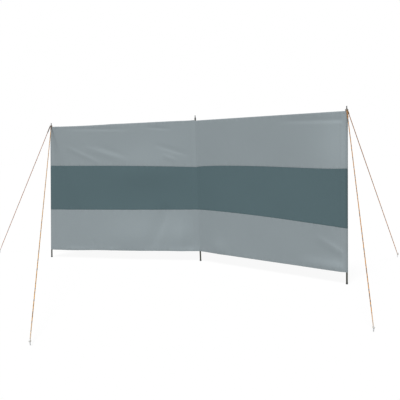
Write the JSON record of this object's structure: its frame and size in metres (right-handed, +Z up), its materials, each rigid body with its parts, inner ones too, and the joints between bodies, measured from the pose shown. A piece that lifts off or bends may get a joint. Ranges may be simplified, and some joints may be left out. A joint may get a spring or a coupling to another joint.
{
  "type": "windbreak",
  "caption": "Camping windbreak of banded grey cloth on slim poles, its bays folded forward, stayed by guy ropes to wire ground pegs.",
  "frame": {"origin": "middle of the middle pole's flat foot, at ground level", "axes": "+Z up; +X along the windbreak from the left pole to the right pole; the bays fold forward towards -Y, and +Y is the outer side"},
  "size_m": [4.9189, 3.8374, 1.5556],
  "materials": {
    "light_cloth": "plain weave, matt",
    "dark_cloth": "plain weave, matt",
    "pole_tube": "satin grey",
    "pole_tip": "moulded",
    "pole_foot": "moulded",
    "guy_rope": "braided",
    "peg_wire": "galvanised"
  },
  "bodies": {
    "root": {"left_back_peg": "peg_wire", "left_back_rope": "guy_rope", "left_front_peg": "peg_wire", "left_front_rope": "guy_rope", "left_lower_band": "light_cloth", "left_pole": "pole_tube", "left_pole_foot": "pole_foot", "left_pole_tip": "pole_tip", "left_sleeve_lower": "light_cloth", "left_sleeve_stripe": "dark_cloth", "left_sleeve_upper": "light_cloth", "left_stripe": "dark_cloth", "left_upper_band": "light_cloth", "middle_pole": "pole_tube", "middle_pole_foot": "pole_foot", "middle_pole_tip": "pole_tip", "middle_sleeve_lower": "light_cloth", "middle_sleeve_stripe": "dark_cloth", "middle_sleeve_upper": "light_cloth", "right_back_peg": "peg_wire", "right_back_rope": "guy_rope", "right_front_peg": "peg_wire", "right_front_rope": "guy_rope", "right_lower_band": "light_cloth", "right_pole": "pole_tube", "right_pole_foot": "pole_foot", "right_pole_tip": "pole_tip", "right_sleeve_lower": "light_cloth", "right_sleeve_stripe": "dark_cloth", "right_sleeve_upper": "light_cloth", "right_stripe": "dark_cloth", "right_upper_band": "light_cloth"}
  },
  "joints": []
}
